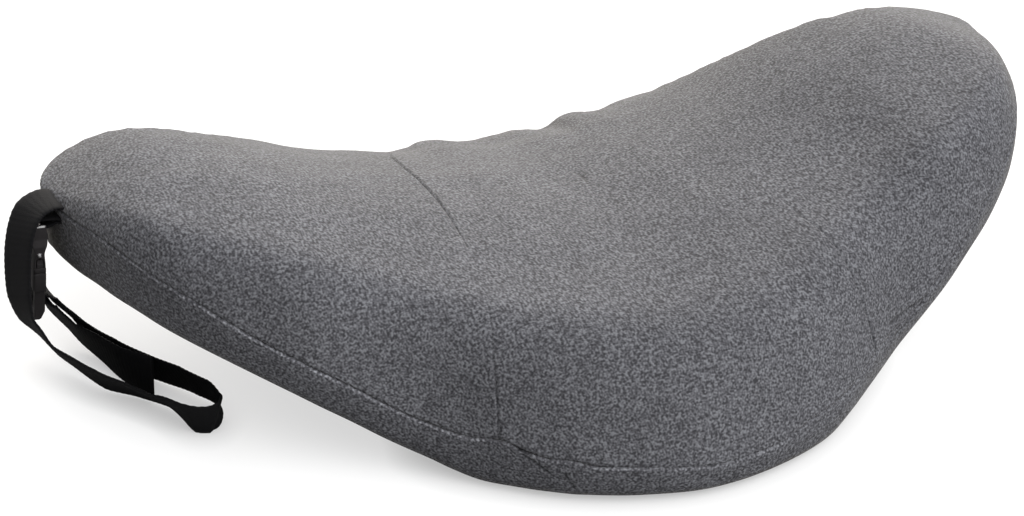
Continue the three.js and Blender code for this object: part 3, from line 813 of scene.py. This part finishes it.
def spline_points(route):
    """Centripetal curve through a route's points, with its tangents, lean and turn at even steps."""
    places = np.array([[r.x, r.y, r.z] for r in route], float)
    padded = np.vstack([2 * places[0] - places[1], places, 2 * places[-1] - places[-2]])
    points, tangents, leans, turns = [], [], [], []
    for i, (start, end) in enumerate(zip(route, route[1:])):
        p0, p1, p2, p3 = padded[i:i + 4]
        d0, d1, d2 = (max(np.linalg.norm(b - a) ** 0.5, 1e-4) for a, b in ((p0, p1), (p1, p2), (p2, p3)))
        t1 = ((p1 - p0) / d0 - (p2 - p0) / (d0 + d1) + (p2 - p1) / d1) * d1
        t2 = ((p2 - p1) / d1 - (p3 - p1) / (d1 + d2) + (p3 - p2) / d2) * d1
        c2 = -3 * p1 + 3 * p2 - 2 * t1 - t2
        c3 = 2 * p1 - 2 * p2 + t1 + t2
        last = 1 if end is route[-1] else 0
        for u in np.arange(SPLINE_STEPS + last) / SPLINE_STEPS:
            points.append(p1 + t1 * u + c2 * u * u + c3 * u ** 3)
            tangents.append(t1 + 2 * c2 * u + 3 * c3 * u * u)
            leans.append(mix((start.lean, end.lean), u))
            turns.append(mix((start.turn, end.turn), u))
    tangents = np.array(tangents)
    tangents /= np.linalg.norm(tangents, axis=1, keepdims=True)
    return np.array(points), tangents, np.radians(leans), np.radians(turns)


def webbing_grid(route, sizes):
    """Rings of ribbed webbing along a route, in millimetres, and the webbing's length."""
    points, tangents, leans, turns = spline_points(route)
    run = run_along(points)
    at = np.linspace(0, run[-1], int(run[-1] / RING_SPACING) + 1)
    points, tangents = (np.stack([np.interp(at, run, part) for part in values.T], 1)
                        for values in (points, tangents))
    leans, turns = np.interp(at, run, leans), np.interp(at, run, turns)
    across = np.stack([np.cos(leans) * np.sin(turns), -np.cos(leans) * np.cos(turns), np.sin(leans)], 1)
    across -= tangents * (across * tangents).sum(1, keepdims=True)
    across /= np.linalg.norm(across, axis=1, keepdims=True)
    face = np.cross(tangents, across)
    pitch, height, scallop, width, thickness = (
        getattr(sizes, name) / MM for name in ("rib_pitch", "rib_height", "scallop", "width", "thickness"))
    side = np.cos(np.linspace(0, math.pi, EDGE_COLUMNS + 1))
    side = np.sign(side) * np.abs(side) ** EDGE_CLOSER
    rings = []
    for s, up in [(s, 1) for s in side] + [(s, -1) for s in side[::-1][1:-1]]:
        wave = np.cos(2 * math.pi * at / pitch + (math.pi / 2) * up)
        edge = np.maximum(0, 1 - (1 - abs(s)) / EDGE_SHARE)
        thick = (thickness / 2 - height) * (1 - abs(s) ** EDGE_ROUND) ** 0.5
        rib = height * wave * (1 - edge)
        sideways = s * (width / 2 - scallop) + np.sign(s) * edge * scallop * (0.5 + 0.5 * wave)
        rings.append(points + across * sideways[:, None] + face * (up * (thick + rib))[:, None])
    grid = np.stack(rings, 1)
    grid[..., 2] = np.maximum(grid[..., 2], 0)
    return grid, run[-1]


def in_buckle(x, z):
    """A place in the buckle's own frame, as a point of a webbing route."""
    place = BUCKLE_PLACE + BUCKLE_TURN @ Vector((x, 0, z))
    return RoutePoint(place.x, place.y, place.z, 0, 0)


def around_bar(height, radius, start, end, count):
    """Webbing that turns round a bar of the buckle, from one angle to another in degrees."""
    angles = np.radians(np.linspace(start, end, count))
    return [in_buckle(radius * math.cos(a), height + radius * math.sin(a)) for a in angles]


def strap_route():
    """The whole strap: from the tip down to the U-turn, back up, round the adjuster's bar and the tail."""
    return [
        *STRAP_ROUTE,
        in_buckle(ADJUSTER_SIDE, ADJUSTER_ENTER),
        *around_bar(ADJUSTER_BAR_AT, ADJUSTER_WRAP, *ADJUSTER_TURN),
        in_buckle(ADJUSTER_SIDE, ADJUSTER_LEAVE),
        *TAIL_ROUTE,
    ]


def tab_route():
    """The tab: out of the tip, round the socket's bar and back."""
    return [*TAB_OUT, *around_bar(SOCKET_BAR_AT, SOCKET_WRAP, *SOCKET_TURN), *TAB_BACK]


# Buckle

def to_buckle(point):
    """A point of the scene, in the buckle's own frame in millimetres."""
    return BUCKLE_TURN.inverted() @ (point / MM - BUCKLE_PLACE)


def from_buckle(point):
    """The reverse of to_buckle."""
    return (BUCKLE_PLACE + BUCKLE_TURN @ Vector(point)) * MM


def cut_across(work, levels, direction):
    """Cuts every face where it crosses one of the levels along a direction of the buckle's frame."""
    for level in levels:
        bmesh.ops.bisect_plane(work, geom=[*work.verts, *work.edges, *work.faces], dist=1e-7,
                               plane_co=from_buckle(direction * level), plane_no=BUCKLE_TURN @ direction)


def shape_thickness(work):
    """Draws the halves in to a waist and swells the ends of the socket's bar, as on the real mould."""
    levels = np.arange(BUCKLE_WAIST[0].z + WAIST_FROM_END, BUCKLE_WAIST[-1].z, WAIST_SPACING)
    cut_across(work, levels, Vector((0, 0, 1)))
    cut_across(work, (-BAR_ENDS_FROM, BAR_ENDS_FROM), Vector((0, 1, 0)))
    for vert in work.verts:
        place = to_buckle(vert.co)
        share = through(BUCKLE_WAIST, "share", place.z)
        if place.z > BAR_ENDS[0].z and abs(place.y) > BAR_ENDS_FROM + BESIDE_CUT and abs(place.x) < BAR_HALF:
            share = through(BAR_ENDS, "share", place.z)
        place.x *= share
        vert.co = from_buckle(place)


def polish(work, verts):
    """Marks points as part of the mould's smooth surface."""
    polished = work.verts.layers.float["polished"]
    for vert in verts:
        vert[polished] = 1


def round_edges(work, edges, radius):
    """Rounds edges as a mould does."""
    bmesh.ops.bevel(work, geom=edges, offset=radius, segments=3, profile=0.5, affect="EDGES",
                    clamp_overlap=True)


def rounded_block(work, low, high, radius):
    """Adds a block with rounded edges, given in the buckle's frame."""
    made = bmesh.ops.create_cube(work, size=1)["verts"]
    for vert in made:
        vert.co = from_buckle([(a + b) / 2 + (b - a) * c for a, b, c in zip(low, high, vert.co)])
    round_edges(work, list({edge for vert in made for edge in vert.link_edges}), radius * MM)


def press_caps(work):
    """The caps of the press arms, on each narrow side, outside the housing."""
    for side in (-1, 1):
        for low, high, out in PRESS_CAP:
            near, far = sorted((side * CAP_FROM, side * (CAP_FROM + out)))
            rounded_block(work, (-CAP_HALF, near, low), (CAP_HALF, far, high), CAP_ROUND)


def waist_studs(work):
    """The smooth round stud at the waist of each narrow side of the housing, and its smooth top."""
    polish(work, [vert for vert in work.verts if to_buckle(vert.co).z > POLISHED_FROM])
    for side in (-1, 1):
        made = bmesh.ops.create_uvsphere(work, u_segments=24, v_segments=16, radius=STUD_RADIUS)["verts"]
        facing = Vector((STUD_FACES[0], side * STUD_FACES[1], STUD_FACES[2]))
        turn = Vector((0, 0, 1)).rotation_difference(facing)
        for vert in made:
            vert.co.z *= STUD_FLATNESS
            vert.co = from_buckle(turn @ vert.co + Vector((0, side * STUD_AT[0], STUD_AT[1])))
        polish(work, made)


FLAT_ANGLE = math.radians(1)  # faces within this angle are one flat face of the mould
EDGE_ANGLE = math.radians(25)  # edges above this angle are rounded
SHARP_ANGLE = math.radians(35)  # and shaded as sharp above this one


def moulded_copy(node, name, radius, extras):
    """A copy of a CAD node with its flat faces joined, its edges rounded and its moulded shape put back."""
    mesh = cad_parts[node].data.copy()
    mesh.name = name
    work = bmesh.new()
    work.from_mesh(mesh)
    bmesh.ops.remove_doubles(work, verts=work.verts, dist=1e-6)
    bmesh.ops.dissolve_limit(work, angle_limit=FLAT_ANGLE, verts=work.verts, edges=work.edges)
    round_edges(work, [edge for edge in work.edges
                       if len(edge.link_faces) == 2 and edge.calc_face_angle(0) > EDGE_ANGLE], radius)
    work.verts.layers.float.new("polished")
    shape_thickness(work)
    extras(work)
    work.to_mesh(mesh)
    work.free()
    mesh.shade_smooth()
    mesh.set_sharp_from_angle(angle=SHARP_ANGLE)
    return mesh


# Stage

Light = namedtuple("Light", "towards focus level")

# A broad soft light, high in front on the right, and a warmer one, low behind
LIGHTS = table(Light, ((0.45, -0.54, 0.71), 6, 6.2), ((0.22, 0.91, 0.35), 8, 10.3))
ROOM_LEVEL = 0.27
WARM = "#fff8ee"
FLOOR_REACH = 6           # metres
AIM = (0, 0, 40)          # the camera looks at this point
PICTURE_WIDTH = 1024
FOCAL = 2813.43           # focal length in the photograph's pixels
OFF_CENTRE = (35.25, -66.65)  # the lens axis from the picture's middle, right and down, in pixels
SENSOR = 36


# Operators

class PILLOW_OT_make_cover(bpy.types.Operator):
    """Makes the filled knit cover"""
    bl_idname = "pillow.make_cover"
    bl_label = "Cover"

    def execute(self, context):
        sizes = context.scene.pillow_cover
        points, rows, ring = pillow_grid()
        points[..., 2] += sewn_rise(points, ring)
        places = seam_places(points, rows, ring)
        points += grid_normals(points) * relief(points, rows, ring, sizes)[..., None]
        points[..., 2] = np.maximum(points[..., 2], 0)
        mesh = grid_mesh("cover", points)
        # the seams' places and the painted shade and highlight of seams and creases, kept at each point for
        # the material
        for name, values in zip((*SEAM_VALUES, "crease_shade_depth"), (*places, np.zeros(points.shape[:2]))):
            store(mesh, name, values)
        draw_creases(mesh)
        cover = new_piece("cover", mesh, melange_jersey(sizes))
        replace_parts(cover, "pillow")
        return {"FINISHED"}


class PILLOW_OT_make_webbing(bpy.types.Operator):
    """Makes the strap and the buckle's tab from webbing"""
    bl_idname = "pillow.make_webbing"
    bl_label = "Webbing"

    def execute(self, context):
        sizes = context.scene.pillow_strap
        material = nylon_webbing(sizes)
        for name, node, route, held, rests in (
                ("strap_webbing", "strap", strap_route(), "hung", ["cover"]),
                ("tab_webbing", "tab", tab_route(), "folded", ["cover"])):
            grid, long = webbing_grid(route, sizes)
            piece = new_piece(name, grid_mesh(name, grid), material)
            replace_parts(piece, node)
        return {"FINISHED"}


class PILLOW_OT_make_buckle(bpy.types.Operator):
    """Makes the two halves of the side release buckle"""
    bl_idname = "pillow.make_buckle"
    bl_label = "Buckle"

    def execute(self, context):
        sizes = context.scene.pillow_buckle
        material = moulded_acetal(sizes)
        for name, node, extras in (("socket_half", "buckle_socket", waist_studs),
                                   ("prong_half", "buckle_prong", press_caps)):
            mesh = moulded_copy(node, name, sizes.edge_radius, extras)
            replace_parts(new_piece(name, mesh, material), node)
        return {"FINISHED"}


class PILLOW_OT_make_stage(bpy.types.Operator):
    """Makes the floor, the lights and the camera"""
    bl_idname = "pillow.make_stage"
    bl_label = "Stage"

    def execute(self, context):
        settings = context.scene.pillow_stage
        mesh = bpy.data.meshes.new("floor")
        corners = [(x * FLOOR_REACH, y * FLOOR_REACH, 0) for x, y in ((-1, -1), (1, -1), (1, 1), (-1, 1))]
        mesh.from_pydata(corners, [], [(0, 1, 2, 3)])
        floor = bpy.data.objects.new("floor", mesh)
        floor.data.materials.append(lit_acrylic(settings))
        context.scene.collection.objects.link(floor)
        self.light(context)
        self.camera(context, settings)
        return {"FINISHED"}

    def light(self, context):
        """A studio of soft lights over a dim room."""
        world = bpy.data.worlds.new("studio")
        world.use_nodes = True
        tree = world.node_tree
        background = tree.nodes["Background"].inputs
        towards = add(tree, "TexCoord").outputs["Generated"]
        level = ROOM_LEVEL
        for light in LIGHTS:
            facing = add(tree, "VectorMath", {0: towards, 1: light.towards}, operation="DOT_PRODUCT")
            ahead = add(tree, "Math", {0: facing, 1: 0}, operation="MAXIMUM")
            lobe = add(tree, "Math", {0: ahead, 1: light.focus}, operation="POWER")
            level = add(tree, "Math", {0: lobe, 1: light.level, 2: level}, operation="MULTIPLY_ADD")
        tint = add(tree, "Mix", {"Factor": lobe, "A": (1, 1, 1, 1), "B": linear(WARM)}, data_type="RGBA")
        tree.links.new(level.outputs["Value"], background["Strength"])
        tree.links.new(tint.outputs["Result"], background["Color"])
        context.scene.world = world

    def camera(self, context, settings):
        """The photograph's camera."""
        data = bpy.data.cameras.new("camera")
        data.sensor_width = SENSOR
        data.lens = FOCAL / PICTURE_WIDTH * SENSOR
        data.shift_x = -OFF_CENTRE[0] / PICTURE_WIDTH
        data.shift_y = OFF_CENTRE[1] / PICTURE_WIDTH
        camera = bpy.data.objects.new("camera", data)
        forward = Vector((math.sin(settings.azimuth) * math.cos(settings.elevation),
                          math.cos(settings.azimuth) * math.cos(settings.elevation),
                          -math.sin(settings.elevation)))
        camera.location = Vector(AIM) * MM - forward * settings.distance
        camera.rotation_euler = forward.to_track_quat("-Z", "Y").to_euler()
        context.scene.collection.objects.link(camera)
        context.scene.camera = camera
        context.scene.view_settings.view_transform = "Standard"


class PILLOW_PT_panel(bpy.types.Panel):
    """Lists the pieces in the sidebar"""
    bl_label = "Lumbar pillow"
    bl_idname = "PILLOW_PT_panel"
    bl_space_type = "VIEW_3D"
    bl_region_type = "UI"
    bl_category = "Pillow"

    def draw(self, context):
        for maker, group, _ in MAKERS:
            box = self.layout.box()
            box.operator(maker.bl_idname)
            settings = getattr(context.scene, group)
            for name in settings.__annotations__:
                box.prop(settings, name)


MAKERS = (
    (PILLOW_OT_make_stage, "pillow_stage", PillowStageSettings),
    (PILLOW_OT_make_cover, "pillow_cover", PillowCoverSettings),
    (PILLOW_OT_make_webbing, "pillow_strap", PillowStrapSettings),
    (PILLOW_OT_make_buckle, "pillow_buckle", PillowBuckleSettings),
)


def register():
    for maker, group, settings in MAKERS:
        bpy.utils.register_class(settings)
        bpy.utils.register_class(maker)
        setattr(bpy.types.Scene, group, PointerProperty(type=settings))
    bpy.utils.register_class(PILLOW_PT_panel)


def unregister():
    bpy.utils.unregister_class(PILLOW_PT_panel)
    for maker, group, settings in MAKERS:
        delattr(bpy.types.Scene, group)
        bpy.utils.unregister_class(maker)
        bpy.utils.unregister_class(settings)


def main():
    register()
    bpy.ops.pillow.make_stage()
    bpy.ops.pillow.make_cover()
    bpy.ops.pillow.make_webbing()
    bpy.ops.pillow.make_buckle()


if __name__ == "__main__":
    main()
